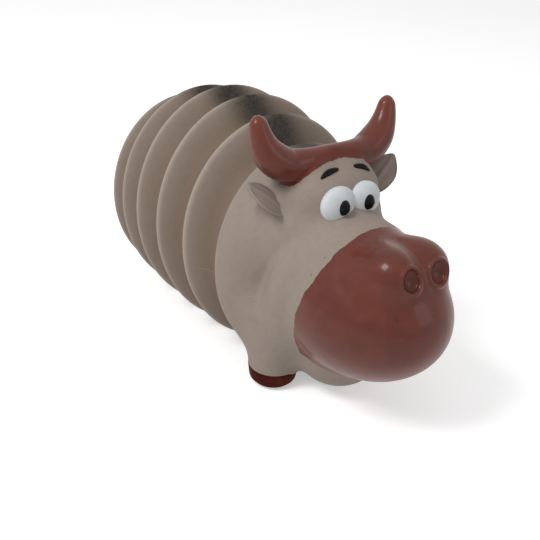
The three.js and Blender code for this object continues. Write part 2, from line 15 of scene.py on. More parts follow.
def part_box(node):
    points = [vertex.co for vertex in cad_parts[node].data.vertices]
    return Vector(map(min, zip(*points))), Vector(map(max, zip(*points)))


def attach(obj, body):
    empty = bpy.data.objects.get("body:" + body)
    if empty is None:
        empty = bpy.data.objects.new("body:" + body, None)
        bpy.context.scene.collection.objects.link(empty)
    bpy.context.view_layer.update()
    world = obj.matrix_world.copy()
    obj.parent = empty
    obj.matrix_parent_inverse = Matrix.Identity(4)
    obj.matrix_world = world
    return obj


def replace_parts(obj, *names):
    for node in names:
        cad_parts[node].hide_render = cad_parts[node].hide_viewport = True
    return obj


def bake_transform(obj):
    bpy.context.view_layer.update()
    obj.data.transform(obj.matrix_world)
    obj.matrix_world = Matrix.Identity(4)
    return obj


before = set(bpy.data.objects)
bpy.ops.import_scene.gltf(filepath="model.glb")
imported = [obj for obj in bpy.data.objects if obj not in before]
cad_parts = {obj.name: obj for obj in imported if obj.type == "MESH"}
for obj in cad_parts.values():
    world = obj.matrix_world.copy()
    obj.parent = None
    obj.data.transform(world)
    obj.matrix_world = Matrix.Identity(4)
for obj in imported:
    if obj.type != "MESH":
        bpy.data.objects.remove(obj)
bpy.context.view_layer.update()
MM = 0.001

# %% [markdown]
# The body is a barrel whose outline swells and narrows like a concertina.
# A stack of separate rings would also look ribbed, but the real skin runs on from fold to fold.
# So one formula gives the barrel's width at every place along it, with a crest every PITCH
# millimetres and a soft V-shaped valley between two crests.

# %% The barrel's outline
HALF_WIDTH = 45.0
TAPER = 5.8
WIDEST_AT = 44.0
TALL_RATIO = 1.10
SPINE_RISE = 8.05
SPINE_PEAK_AT = 56.0
PITCH = 17.8
FOLD_DEPTH = 6.0
FOLDS = 5
CREST_SHARE = 0.16


def spine(y):
    """Height of the barrel's middle line: a parabola, rise * (1 - ((y - peak) / peak)^2)."""
    return SPINE_RISE * (1 - ((y - SPINE_PEAK_AT) / SPINE_PEAK_AT) ** 2)


def crest_width(y):
    """Half width over the crests: a parabola that is widest at WIDEST_AT."""
    return HALF_WIDTH - TAPER * ((y - WIDEST_AT) / WIDEST_AT) ** 2


def fold_share(y):
    """0 on a crest and 1 in a valley: |sin(pi y / pitch)|, with its sharp foot rounded."""
    top = math.hypot(1, CREST_SHARE) - CREST_SHARE
    return (np.hypot(np.sin(np.pi * y / PITCH), CREST_SHARE) - CREST_SHARE) / top


def folded_width(y):
    """Half width of the skin: the crest's width less the fold's depth there."""
    return crest_width(y) - FOLD_DEPTH * fold_share(y)


def valley(index):
    """Place along the barrel of a valley: half a pitch past its crest."""
    return (index + 0.5) * PITCH


print("half width of the first crest and valley in mm:", folded_width(0.0), folded_width(valley(0)))

# %% [markdown]
# The toy stands on its two front hooves and on the undersides of its rear folds, so the barrel
# leans back a little. The shapes are easier to think about along a level barrel, so they are
# worked out there in millimetres, and one function turns and shifts them into the frame's metres.

# %% From the moulding to the frame
TILT = math.radians(5.8)
COS, SIN = math.cos(TILT), math.sin(TILT)
GAP = 0.3
RUMP_DEPTH = 8.5
FLANGE = 1.2
LID = 1.4
RUMP_FRONT = valley(FOLDS) + GAP / 2
RUMP_TIP = RUMP_FRONT + RUMP_DEPTH


def turned(points):
    """Directions turned about X by the tilt: y' = y cos + z sin, z' = z cos - y sin."""
    p = np.asarray(points, float)
    return np.stack([p[..., 0], p[..., 1] * COS + p[..., 2] * SIN,
                     -p[..., 1] * SIN + p[..., 2] * COS], axis=-1)


lid_low, lid_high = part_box("squeaker_lid")
lid_middle = np.array([0, RUMP_TIP + GAP + FLANGE - LID / 2, spine(RUMP_TIP)])
SHIFT = (np.array(lid_low) + np.array(lid_high)) / 2 - turned(lid_middle) * MM


def placed(points):
    """Places in metres: turned, shifted to the CAD's own lid, and never below the floor."""
    p = turned(points) * MM + SHIFT
    p[..., 2] = np.maximum(p[..., 2], 0)
    return p


print("shift to the frame in mm:", np.round(SHIFT / MM, 2))

# %% [markdown]
# Head, legs and shoulder are one skin with soft joins, as a mould gives. Booleans and a remesh
# could join balls, but they leave marks where the balls meet. Here each form is a distance that
# is negative inside it, and a smooth minimum of two distances melts them together.

# %% Distances
REACH = 75.0
TINY = 1e-9


def smooth_min(a, b, blend):
    """The lesser of a and b, rounded by blend * h * (1 - h) where they are closer than blend."""
    h = np.clip(0.5 + 0.5 * (b - a) / blend, 0, 1)
    return b * (1 - h) + a * h - blend * h * (1 - h)


def egg_distance(p, centre, radii):
    """Near distance to an egg: k (k - 1) / |q / r^2|, where k = |q / r|."""
    q = p - np.asarray(centre)
    k = np.linalg.norm(q / radii, axis=-1)
    return k * (k - 1) / (np.linalg.norm(q / np.square(radii), axis=-1) + TINY)


def cone_distance(p, start, end, start_radius, end_radius):
    """Distance to the nearest point of a line, less a radius that changes evenly along it."""
    along = np.subtract(end, start)
    share = np.clip((p - start) @ along / (along @ along), 0, 1)
    nearest = start + share[..., None] * along
    return np.linalg.norm(p - nearest, axis=-1) - (start_radius + (end_radius - start_radius) * share)


def on_head(shares):
    """Millimetres from shares of the head's reach."""
    return np.array(shares, float) * REACH


def half_side(p):
    """The points folded over to the toy's left side: x becomes |x|."""
    return np.concatenate([np.abs(p[..., :1]), p[..., 1:]], axis=-1)


print("on the front of an egg the distance is", egg_distance(on_head((0, -1, 0)), 0, np.full(3, REACH)))

# %% [markdown]
# The forms of the head were placed by a camera fit: skull, face, snout, jaw, brow ridge
# and a soft jowl, then the two nose lobes, two short legs, and the crown between the horns. Each
# row is a place, three radii and how softly it joins, all as shares of the head's reach. The
# saddle is a thinner copy of the crown, which makes the skin rise to meet the painted band.

# %% The head's forms
CHEST_DEPTH = 21.0
LOBES = (
    ((0, -0.147, 0.207), (0.347, 0.28, 0.36), 0.107),
    ((0, -0.46, 0.06), (0.28, 0.33, 0.27), 0.107),
    ((0, -0.493, -0.093), (0.371, 0.513, 0.364), 0.05),
    ((0, -0.347, -0.36), (0.253, 0.253, 0.253), 0.053),
    ((0, -0.267, 0.427), (0.24, 0.127, 0.12), 0.08),
    ((0, -0.307, -0.08), (0.413, 0.21, 0.385), 0.035),
)
SNOUT, JAW = LOBES[2], LOBES[3]
NOSE = ((0.093, -0.785, 0.187), (0.113, 0.133, 0.111), 0.12)
NOSE_CLEFT = 0.04 * REACH
LEG_LENGTH = 33.1
LEG_TOP = 12.5
LEG_FOOT = 9.3
HOOF_STEP = 0.2
LEG_ANKLE = LEG_TOP - (LEG_TOP - LEG_FOOT) * (LEG_LENGTH - LEG_FOOT) / LEG_LENGTH - HOOF_STEP
LEG_BLEND = 7.0
leg_top = on_head((0.26, -0.16, -0.19))
leg_down = np.array([0, SIN, -COS])
HORN_RADIUS = 5.6
HORN_SHARES = ((0, -0.233, 0.587), (0.13, -0.23, 0.574), (0.24, -0.207, 0.563),
               (0.325, -0.196, 0.615), (0.372, -0.19, 0.7), (0.391, -0.185, 0.797))
HORN_SWELL = (0.62, 0.8, 1.1, 1.08, 0.8, 0.46)
CROWN_SWELL = HORN_SWELL[:4]
SADDLE_SWELL = (0.56, 0.72, 0.5)
SADDLE_FILLET = 7.0


def crown_distance(p, swell):
    """Distance to the band between the horns: the least of its tapering lengths."""
    q, path, radii = half_side(p), on_head(HORN_SHARES[:len(swell)]), HORN_RADIUS * np.array(swell)
    return np.minimum.reduce([cone_distance(q, path[i], path[i + 1], radii[i], radii[i + 1])
                              for i in range(len(swell) - 1)])


print("lobes:", len(LOBES), "crown half length in mm:", on_head(HORN_SHARES[3])[0])

# %% [markdown]
# The nostrils are blind pits with a thin raised lip. A pit is an egg taken away from the skin.
# The lip follows the line where skin and pit meet: there both distances are nought, so the
# hypotenuse of the two is the distance to that line, and a small radius makes it a bead.
# A low egg under each ear makes the skin swell towards its root.

# %% The skin's field
PIT_AT = on_head((0.083, -0.936, 0.198))
PIT_RADII = np.array([4.7, 4.4, 5.1])
PIT_BLEND = 1.2
LIP_RADIUS = 0.3
LIP_BLEND = 1.2
EAR_BASE_AT = on_head((0.3, -0.155, 0.372))
EAR_BASE_RADII = np.array([6.6, 1.8, 3.4])
EAR_BLEND = 4.0


def skin_field(p):
    """Negative in the skin: the smooth least of all forms, less the pits, with their lips."""
    chest = np.array([crest_width(0), CHEST_DEPTH, crest_width(0) * TALL_RATIO])
    across = np.hypot(p[..., 0], (p[..., 2] - spine(p[..., 1])) / TALL_RATIO)
    d = np.where(p[..., 1] < 0, egg_distance(p, (0, 0, spine(0)), chest),
                 across - folded_width(p[..., 1]))
    for at, radii, blend in LOBES:
        d = smooth_min(d, egg_distance(p, on_head(at), on_head(radii)), blend * REACH)
    q = half_side(p)
    nose_at, nose_radii, nose_blend = NOSE
    near, far = (egg_distance(q, on_head(nose_at) * (sign, 1, 1), on_head(nose_radii))
                 for sign in (1.0, -1.0))
    d = smooth_min(d, smooth_min(near, far, NOSE_CLEFT), nose_blend * REACH)
    leg = cone_distance(q, leg_top, leg_top + leg_down * (LEG_LENGTH - LEG_FOOT), LEG_TOP, LEG_ANKLE)
    d = smooth_min(d, leg, LEG_BLEND)
    d = smooth_min(d, crown_distance(p, SADDLE_SWELL), SADDLE_FILLET)
    d = smooth_min(d, egg_distance(q, EAR_BASE_AT, EAR_BASE_RADII), EAR_BLEND)
    pit = egg_distance(q, PIT_AT, PIT_RADII)
    lip = np.hypot(d, pit) - LIP_RADIUS
    return smooth_min(-smooth_min(-d, pit, PIT_BLEND), lip, LIP_BLEND)


print("field inside the face:", skin_field(on_head(LOBES[1][0])))

# %% [markdown]
# To turn the field into a mesh, rays leave the head's middle in all directions, and each one
# stops where it first comes out of the skin. Marching cubes would work too, but rays give a tidy
# grid of rows and columns, with its seam closed and its density under control.

# %% Rays from inside
cast_centre = on_head((0, -0.24, -0.053))
RAY_START, RAY_STEP, RAY_STEPS, RAY_HALVINGS = 12.0, 1.6, 70, 16
SLOPE_STEP = 0.06


def halved(low, high, is_low, times):
    """Closes in on a change: the middle replaces low where is_low holds there, and else high."""
    for _ in range(times):
        middle = (low + high) / 2
        keep = is_low(middle)
        low = np.where(keep, middle, low)
        high = np.where(keep, high, middle)
    return (low + high) / 2


def cast(directions):
    """First exit of each ray: even steps until the field turns positive, then halvings."""
    d = directions / np.linalg.norm(directions, axis=-1, keepdims=True)
    far = np.full(d.shape[:-1], RAY_START)
    running = np.ones(far.shape, bool)
    for _ in range(RAY_STEPS):
        if not running.any():
            break
        far[running] += RAY_STEP
        running[running] = skin_field(cast_centre + d[running] * far[running][:, None]) < 0
    reached = halved(far - RAY_STEP, far, lambda r: skin_field(cast_centre + d * r[..., None]) < 0,
                     RAY_HALVINGS)
    return cast_centre + d * reached[..., None]


def skin_normals(p):
    """The field's slope along x, y and z, from central differences, made one long."""
    steps = SLOPE_STEP * np.eye(3)
    n = np.stack([skin_field(p + step) - skin_field(p - step) for step in steps], axis=-1)
    return n / (np.linalg.norm(n, axis=-1, keepdims=True) + TINY)


def direction(polar, turn):
    """Polar angle from straight ahead (-y) and turn about that line, as a direction."""
    return np.stack([np.sin(polar) * np.cos(turn), -np.cos(polar), np.sin(polar) * np.sin(turn)], axis=-1)


print("tip of the snout in mm:", cast(direction(np.zeros(1), np.zeros(1))).round(1))

# %% [markdown]
# Every new piece is a grid of points, rows along it and columns round it. The last column joins
# the first, so no seam is open, and an end can close on one more point. The marks that a
# material needs ride on the points as attributes.

# %% Grids into meshes
COLUMNS = 288
NECK_ROWS = 160
MUZZLE_ROWS = 180
FOLD_ROWS = 40
RUMP_ROWS = 60
ROUND = 72
ON_FLOOR = 1e-7


def make_object(name, points, faces, body, normals=None, marks=None):
    """A mesh at the origin from points in the moulding's millimetres, riding on a body."""
    flat = placed(points.reshape(-1, 3))
    mesh = bpy.data.meshes.new(name)
    mesh.from_pydata(flat.tolist(), [], faces)
    for key, values in (marks or {}).items():
        mesh.attributes.new(key, "FLOAT", "POINT").data.foreach_set("value", np.ravel(values))
    mesh.polygons.foreach_set("use_smooth", [True] * len(mesh.polygons))
    if normals is not None:
        n = turned(normals.reshape(-1, 3))
        n[flat[:, 2] < ON_FLOOR] = (0, 0, -1)
        mesh.normals_split_custom_set_from_vertices(n.tolist())
    obj = bpy.data.objects.new(name, mesh)
    bpy.context.scene.collection.objects.link(obj)
    if body:
        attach(obj, body)
    print(name, len(mesh.polygons), "faces")
    return obj


def grid_faces(rows, columns, first_cap=False, last_cap=False):
    """Four corners from rows i, i + 1 and columns j, j + 1; a cap joins a row to an extra point."""
    index = np.arange(rows * columns).reshape(rows, columns)
    beside = np.roll(index, -1, axis=1)
    faces = np.stack([index[:-1], beside[:-1], beside[1:], index[1:]], axis=-1).reshape(-1, 4).tolist()
    extra = rows * columns
    if first_cap:
        faces += np.stack([np.full(columns, extra), beside[0], index[0]], axis=1).tolist()
        extra += 1
    if last_cap:
        faces += np.stack([np.full(columns, extra), index[-1], beside[-1]], axis=1).tolist()
    return faces


def outward(points, faces):
    """The faces, turned over where the volume a . (b x c), summed over them, is negative."""
    p = points.reshape(-1, 3)
    a, b, c = np.moveaxis((p - p.mean(axis=0))[np.array([f[:3] for f in faces])], 1, 0)
    return faces if np.sum(a * np.cross(b, c)) > 0 else [f[::-1] for f in faces]


print("columns round the head:", COLUMNS)

# %% [markdown]
# Some marks follow the form, so they are worked out from it: the black stripe that was sprayed
# along the back, the valleys darkened by dust and by painted shade, a painted highlight along the
# crests, the mould's parting line and the crown's paint, which was brushed with an unsteady hand.

# %% Marks on the skin
STRIPE_HALF_WIDTH, STRIPE_POWER = 9.5, 2.4
STRIPE_WANDER, STRIPE_WANDER_SIZE = 1.8, 9.0
STRIPE_ABOVE, STRIPE_RISE = 16.0, 14.0
STRIPE_FRONT, STRIPE_RUN_IN = -14.0, 8.0
# Least dust and painted shade on a crest, and the share of each fold near its crest that gets a painted
# highlight.
LEAST_DUST_AND_SHADE = 0.2
CREST_HIGHLIGHT_SHARE = 0.16
SEAM_HEIGHT, SEAM_SLOPE, SEAM_REACH = -4.6, 0.12, 4.0
CROWN_FADE, CROWN_MOST = 8.0, 1.3
WAVES = (1.7, 1.3, 2.1, 0.9)


def wobble(p, size, seed):
    """Smooth numbers from -1 to 1: (sin(a x + s) cos(b y - s) + sin(c z + d x + 2 s)) / 2."""
    x, y, z = np.moveaxis(p / size, -1, 0)
    a, b, c, d = WAVES
    return (np.sin(x * a + seed) * np.cos(y * b - seed) + np.sin(z * c + x * d + 2 * seed)) / 2


def skin_marks(p):
    """One number a point for each mark; the crown's is 1 - distance / CROWN_FADE."""
    x, y, z = np.moveaxis(p, -1, 0)
    width = STRIPE_HALF_WIDTH + STRIPE_WANDER * wobble(p, STRIPE_WANDER_SIZE, 1.0)
    above = np.clip((z - spine(y) - STRIPE_ABOVE) / STRIPE_RISE, 0, 1)
    behind = np.clip((y - STRIPE_FRONT) / STRIPE_RUN_IN, 0, 1)
    return {
        "stripe": np.exp(-np.abs(x / width) ** STRIPE_POWER) * above * behind,
        # dust with painted shade, deepening towards each valley
        "hollow": np.where(y > 0, LEAST_DUST_AND_SHADE + (1 - LEAST_DUST_AND_SHADE) * fold_share(y), 0),
        # painted highlight along each crest
        "rubbed": np.where(y > 0, np.clip(1 - fold_share(y) / CREST_HIGHLIGHT_SHARE, 0, 1), 0),
        "seam": np.clip(1 - np.abs(z - SEAM_HEIGHT - SEAM_SLOPE * y) / SEAM_REACH, 0, 1),
        "crown": np.clip(1 - crown_distance(p, CROWN_SWELL) / CROWN_FADE, 0, CROWN_MOST),
    }


print("stripe on top of the first fold:", skin_marks(np.array([[0, PITCH, HALF_WIDTH]]))["stripe"])

# %% [markdown]
# The brown paint of the muzzle ends in a line where the brush stopped: a sloping plane that also
# keeps off the chin. It wanders a little, and each row of PAINT_WANDERS is how far, in patches of
# what size, and a seed. Trying angles by halves finds where each ray from inside meets that line,
# and trying widths by halves finds the ring on which the head ends at the shoulder.

# %% The painted line and the shoulder
PAINT_AT, PAINT_SLOPE = -0.487 * REACH, -0.30
PAINT_WANDERS = ((0.45, 3.2, 0.3), (0.2, 1.1, 1.7))
PAINT_SEARCH = (math.pi / 12, math.pi * 0.75)
SHOULDER_SEARCH = (0.92, 1.25)
LINE_HALVINGS, RING_HALVINGS = 20, 26
turns = 2 * np.pi * np.arange(COLUMNS) / COLUMNS


def past_paint(p):
    """Positive behind the line: the greater of plane and snout - jaw, less share * wobble."""
    plane = p[..., 1] - PAINT_AT - PAINT_SLOPE * p[..., 2]
    snout, jaw = (egg_distance(p, on_head(lobe[0]), on_head(lobe[1])) for lobe in (SNOUT, JAW))
    return np.maximum(plane, snout - jaw) - sum(share * wobble(p, size, seed)
                                                for share, size, seed in PAINT_WANDERS)


def barrel_ring(width, y):
    """Points (w cos t, y, spine + tall w sin t) round the barrel."""
    return np.stack([width * np.cos(turns), np.full(COLUMNS, y),
                     spine(y) + TALL_RATIO * width * np.sin(turns)], axis=-1)


def shoulder_ring(y):
    """A ring of the barrel at y: the width, by halvings, at which the field is nought."""
    least, most = (np.full(COLUMNS, folded_width(y) * share) for share in SHOULDER_SEARCH)
    return barrel_ring(halved(least, most, lambda width: skin_field(barrel_ring(width, y)) < 0,
                              RING_HALVINGS), y)


first_polar, last_polar = (np.full(COLUMNS, angle) for angle in PAINT_SEARCH)
paint_angles = halved(first_polar, last_polar,
                      lambda polar: past_paint(cast(direction(polar, turns))) <= 0, LINE_HALVINGS)
shoulder = shoulder_ring(0.0)
away = shoulder - cast_centre
end_polar = np.arccos(-away[:, 1] / np.linalg.norm(away, axis=1))
end_turn = np.unwrap(np.arctan2(away[:, 2], away[:, 0]))
end_turn += 2 * np.pi * np.round((turns[0] - end_turn[0]) / (2 * np.pi))
print("painted line, degrees from straight ahead:", np.degrees([paint_angles.min(), paint_angles.max()]))

# %% [markdown]
# Head and muzzle are one skin, shared out between two pieces at the painted line. Two materials
# on one mesh would do for a picture, but a painted piece of its own can be swapped or moved.
# Both pieces use the same angles at the line, so their edges meet exactly.

# %% Head and muzzle
TIP_ANGLE = 0.02


def cast_grid(start_polar, start_turn, stop_polar, stop_turn, rows):
    """Rays whose polar angle and turn go evenly from one row to the other."""
    share = np.linspace(0, 1, rows)[:, None]
    return cast(direction(start_polar + (stop_polar - start_polar) * share,
                          start_turn + (stop_turn - start_turn) * share))


neck = cast_grid(paint_angles, turns, end_polar, end_turn, NECK_ROWS)
neck[-1] = shoulder
front_skin = make_object("front_skin", neck, outward(neck, grid_faces(NECK_ROWS, COLUMNS)), "head",
                         skin_normals(neck), skin_marks(neck))
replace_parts(front_skin, "front_shell", "front_leg_left", "front_leg_right")

muzzle = cast_grid(np.full(COLUMNS, TIP_ANGLE), turns, paint_angles, turns, MUZZLE_ROWS)
muzzle[-1] = neck[0]
muzzle = np.concatenate([muzzle.reshape(-1, 3), cast(direction(np.zeros(1), np.zeros(1)))])
muzzle_skin = make_object("muzzle_skin", muzzle, outward(muzzle, grid_faces(MUZZLE_ROWS, COLUMNS, True)),
                          "head", skin_normals(muzzle))
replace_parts(muzzle_skin, "muzzle_shell")

# %% [markdown]
# The concertina is the part of the real toy that moves. Each fold is its own piece from crest to
# crest, and a point on a level line just inside each crest is worked out, though nothing uses it.
# Up to the first valley the rings are found in the field, where the head's forms still reach.

# %% The five folds
CREST_MARGIN = 1.2


def row_point(y):
    """A point at y on a level line, in metres."""
    return tuple(placed(np.array([[0, y, 0.0]]))[0])


for index in range(FOLDS):
    ys = np.linspace(index * PITCH, (index + 1) * PITCH, FOLD_ROWS + 1)
    skin = np.stack([shoulder_ring(y) if y < valley(0) else barrel_ring(folded_width(y), y) for y in ys])
    piece = make_object("fold_skin_%d" % (index + 1), skin, outward(skin, grid_faces(len(ys), COLUMNS)),
                        None, skin_normals(skin), skin_marks(skin))
    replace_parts(piece, "fold_%d" % (index + 1))
    row_point(ys[0] + CREST_MARGIN)
    row_point(ys[-1] - CREST_MARGIN)
    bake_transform(piece)
print("blended over valleys at mm:", [round(valley(i), 1) for i in range(FOLDS)])

# %% [markdown]
# Behind the last crest the skin closes in a low dome and turns in round the squeaker's hole.
# A lathe would do for a round dome, but this one is taller than wide, so it is made of the same
# rings as the barrel, whose width falls by a superellipse, until they change to the round hole.

# %% The rump
RUMP_POWER = 2.6
HOLE_RADIUS = 9.0
HOLE_MARGIN = 1.5
HOLE_EDGE = ((0.0, 0.5), (0.15, 0.12), (0.6, 0.0), (2.2, 0.0))
last_crest = FOLDS * PITCH
rump_width = folded_width(valley(FOLDS))
squeaker_at = np.array([0, RUMP_TIP, spine(RUMP_TIP)])
shares = np.sin(np.linspace(0, np.pi / 2, RUMP_ROWS))[1:]
dome_widths = rump_width * (1 - shares ** RUMP_POWER) ** 0.5
rings = [barrel_ring(folded_width(y), y) for y in np.linspace(last_crest, valley(FOLDS), FOLD_ROWS // 2)]
rings += [barrel_ring(width, RUMP_FRONT + share * RUMP_DEPTH)
          for width, share in zip(dome_widths, shares) if width >= HOLE_RADIUS + HOLE_MARGIN]
for drop, more in HOLE_EDGE:
    rings.append(squeaker_at + np.stack([(HOLE_RADIUS + more) * np.cos(turns), np.full(COLUMNS, -drop),
                                         (HOLE_RADIUS + more) * np.sin(turns)], axis=-1))
rump = np.stack(rings)
rump_skin = make_object("rump_skin", rump, outward(rump, grid_faces(len(rings), COLUMNS)), None, None,
                        skin_marks(rump))
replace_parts(rump_skin, "rump_shell")
row_point(last_crest + CREST_MARGIN)
row_point(valley(FOLDS))
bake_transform(rump_skin)
print("rings in the rump:", len(rings))

# %% [markdown]
# Hooves, tail and the squeaker's plastic parts are round about a line, so they are lathed: a
# profile of radius and height is carried round an axis. Moulded edges are never sharp, so each
# inner corner of a profile becomes a small curve first.

# %% Lathe
NEARLY_ALONG = 0.9
CORNER_SHARE = 2.2
CORNER_POINTS = 4
HOOF_EDGE, TAIL_EDGE, CRISP_EDGE = 0.9, 1.5, 0.22


def frame_along(axis):
    """A direction and two more square to it and to each other, by cross products."""
    axis = axis / np.linalg.norm(axis)
    side = np.cross(axis, (1.0, 0, 0) if abs(axis[0]) < NEARLY_ALONG else (0, 1.0, 0))
    side /= np.linalg.norm(side)
    return axis, side, np.cross(axis, side)


def rounded(profile, rounding):
    """Each inner corner becomes the curve (1 - t)^2 a + 2 t (1 - t) corner + t^2 b."""
    p = [np.array(q, float) for q in profile]
    out = [p[0]]
    t = np.linspace(0, 1, CORNER_POINTS)[:, None]
    for before, corner, after in zip(p, p[1:], p[2:]):
        back, on = before - corner, after - corner
        reach = min(rounding, np.linalg.norm(back) / CORNER_SHARE, np.linalg.norm(on) / CORNER_SHARE)
        start = corner + back / np.linalg.norm(back) * reach
        stop = corner + on / np.linalg.norm(on) * reach
        out += list((1 - t) ** 2 * start + 2 * t * (1 - t) * corner + t ** 2 * stop)
    return np.array(out + [p[-1]])


def lathe(name, profile, origin, axis, body, closed=False):
    """Points origin + h axis + r (cos t side + sin t over) for each radius r and height h."""
    along, side, over = frame_along(np.asarray(axis, float))
    profile = np.vstack([profile, profile[:1]]) if closed else np.asarray(profile)
    angle = 2 * np.pi * np.arange(ROUND)[:, None] / ROUND
    circle = np.cos(angle) * side + np.sin(angle) * over
    points = origin + profile[:, 1, None, None] * along + profile[:, 0, None, None] * circle
    faces = grid_faces(len(profile), ROUND, not closed, not closed)
    if not closed:
        ends = origin + profile[[0, -1], 1][:, None] * along
        points = np.concatenate([points.reshape(-1, 3), ends])
    return make_object(name, points, outward(points, faces), body)


print("a rounded right angle has", len(rounded([(0, 0), (1, 0), (1, 1)], CRISP_EDGE)), "points")

# %% [markdown]
# The horns and the crown between them are one brown form, thick at the poll's corners and
# pointing up. A curve with a bevel would do, but its tips would be cut flat. So rings are carried
# along a smooth path, and at the tips their radius falls as a quarter circle does.

# %% Horns and crown
HORN_TIP_REACH = 1.2
HORN_RINGS = 300
TIP_SHARE = 0.075
LEAST_RADIUS = 0.05
END_BULGE = 0.3
SOFTEN_NEIGHBOURS, SOFTEN_REACH = 15, 2.2


def smooth_path(points, values, count):
    """Catmull-Rom: a cubic through each pair of points, with the values carried along."""
    data = np.column_stack([points, values])
    data = np.vstack([2 * data[0] - data[1], data, 2 * data[-1] - data[-2]])
    share = np.linspace(0, len(points) - 1 - TINY, count)
    i = share.astype(int)
    t = (share - i)[:, None]
    a, b, c, d = data[i], data[i + 1], data[i + 2], data[i + 3]
    out = 0.5 * (2 * b + (c - a) * t + (2 * a - 5 * b + 4 * c - d) * t ** 2
                 + (3 * b - a - 3 * c + d) * t ** 3)
    return out[:, :3], out[:, 3]


def tube(name, path, radii, body):
    """Rings of the given radii, square to the path's own direction, closed by two end points."""
    tangent = np.gradient(path, axis=0)
    tangent /= np.linalg.norm(tangent, axis=1, keepdims=True)
    over = np.cross(np.array([0, 1.0, 0]), tangent)
    over /= np.linalg.norm(over, axis=1, keepdims=True)
    ahead = np.cross(tangent, over)
    angle = 2 * np.pi * np.arange(ROUND)[None, :, None] / ROUND
    rings = path[:, None] + radii[:, None, None] * (np.cos(angle) * over[:, None]
                                                    + np.sin(angle) * ahead[:, None])
    ends = np.stack([path[0] - tangent[0] * radii[0] * END_BULGE,
                     path[-1] + tangent[-1] * radii[-1] * END_BULGE])
    points = np.concatenate([rings.reshape(-1, 3), ends])
    return make_object(name, points, outward(points, grid_faces(len(path), ROUND, True, True)), body)


def softened(path):
    """The path averaged with weights exp(-s^2) over a few neighbours, its ends held."""
    spread = SOFTEN_NEIGHBOURS
    weights = np.exp(-np.linspace(-SOFTEN_REACH, SOFTEN_REACH, 2 * spread + 1) ** 2)
    padded = np.concatenate([2 * path[0] - path[spread:0:-1], path,
                             2 * path[-1] - path[-2:-spread - 2:-1]])
    return np.stack([np.convolve(column, weights / weights.sum(), "valid") for column in padded.T], axis=1)


other_side = np.array([-1.0, 1.0, 1.0])
half_horn = on_head(HORN_SHARES)
tip_way = half_horn[-1] - half_horn[-2]
half_horn[-1] += tip_way / np.linalg.norm(tip_way) * HORN_TIP_REACH
horn_path, horn_size = smooth_path(np.vstack([half_horn[:0:-1] * other_side, half_horn]),
                                   HORN_RADIUS * np.array(HORN_SWELL[:0:-1] + HORN_SWELL), HORN_RINGS)
past_round = np.clip((np.abs(np.linspace(-1, 1, HORN_RINGS)) - 1 + TIP_SHARE) / TIP_SHARE, 0, 1)
horn_piece = tube("horn_paint", softened(horn_path),
                  np.maximum(horn_size * np.sqrt(1 - past_round ** 2), LEAST_RADIUS), "head")
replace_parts(horn_piece, "horn_band")

# %% [markdown]
# The hooves are the painted ends of the legs, with a flat sole that the toy stands on. The tail
# is a short moulded tuft that lies on the rump; the photograph hides it, so it stays plain.

# %% Hooves and tail
HOOF_HEIGHT = 7.6
SOLE_RADIUS, SOLE_BEVEL = 7.2, 2.1
HOOF_TOP_INSET, HOOF_TOP_BEVEL = 0.8, 0.15
AXIS_RADIUS = 0.01
hoof_top = LEG_LENGTH - HOOF_HEIGHT
hoof_radius = LEG_TOP + (LEG_FOOT - LEG_TOP) * hoof_top / LEG_LENGTH
hoof_profile = rounded([(AXIS_RADIUS, LEG_LENGTH), (SOLE_RADIUS, LEG_LENGTH),
                        (LEG_FOOT, LEG_LENGTH - SOLE_BEVEL), (hoof_radius, hoof_top),
                        (hoof_radius - HOOF_TOP_INSET, hoof_top - HOOF_TOP_BEVEL),
                        (AXIS_RADIUS, hoof_top)], HOOF_EDGE)
sides = (("left", np.array([1.0, 1, 1])), ("right", other_side))
for side, flip in sides:
    hoof = lathe("hoof_" + side, hoof_profile, leg_top * flip, leg_down, "head")
    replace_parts(hoof, "front_hoof_" + side)

TAIL_RADIUS = 2.4
TAIL_ROOT_SHARE = 0.84
FLANGE_RADIUS = 10.6
TAIL_PROFILE = ((0.05, 0), (0.8, 0.02), (1, 0.1), (0.9, 0.55), (1.5, 0.72), (1.3, 0.86), (0.05, 1))


def rump_surface(height):
    """A point on the dome's middle line: depth * (1 - share^2)^(1 / power) behind its foot."""
    share = height / TALL_RATIO / rump_width
    depth = RUMP_DEPTH * (1 - share ** 2) ** (1 / RUMP_POWER)
    return squeaker_at + np.array([0, depth - RUMP_DEPTH, height])


tail_tip = rump_surface(FLANGE_RADIUS + GAP)
tail_root = rump_surface(TAIL_ROOT_SHARE * rump_width * TALL_RATIO)
tail_length = np.linalg.norm(tail_tip - tail_root)
tail_profile = rounded([(w * TAIL_RADIUS, a * tail_length) for w, a in TAIL_PROFILE], TAIL_EDGE)
tail = lathe("tail_skin", tail_profile, tail_root, tail_tip - tail_root, "rump")
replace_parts(tail, "tail")
print("tail length in mm:", round(float(tail_length), 1))

# %% [markdown]
# The squeaker is a flanged cup pressed into the hole, closed by a lid with a bored post that
# holds the reed. All three are small injection mouldings, so their lathed edges are crisp.

# %% Squeaker
CUP_RADIUS = 8.0
CUP_LENGTH = 9.0
CUP_WALL = 1.1
LID_HOLE = 2.6
SEAT_LENGTH = 7.0
SEAT_BORE = 1.1
flange_end = GAP + FLANGE
cup_inside = CUP_RADIUS - CUP_WALL
squeaker_profiles = {
    "squeaker_cup": [(CUP_RADIUS, -CUP_LENGTH), (CUP_RADIUS, GAP), (FLANGE_RADIUS, GAP),
                     (FLANGE_RADIUS, flange_end), (cup_inside, flange_end), (cup_inside, -CUP_LENGTH)],
    "squeaker_lid": [(LID_HOLE, flange_end - LID), (cup_inside - GAP, flange_end - LID),
                     (cup_inside - GAP, flange_end), (LID_HOLE, flange_end)],
    "reed_seat": [(SEAT_BORE, flange_end - SEAT_LENGTH), (LID_HOLE - GAP, flange_end - SEAT_LENGTH),
                  (LID_HOLE - GAP, flange_end), (SEAT_BORE, flange_end)],
}
backwards = (0, 1.0, 0)
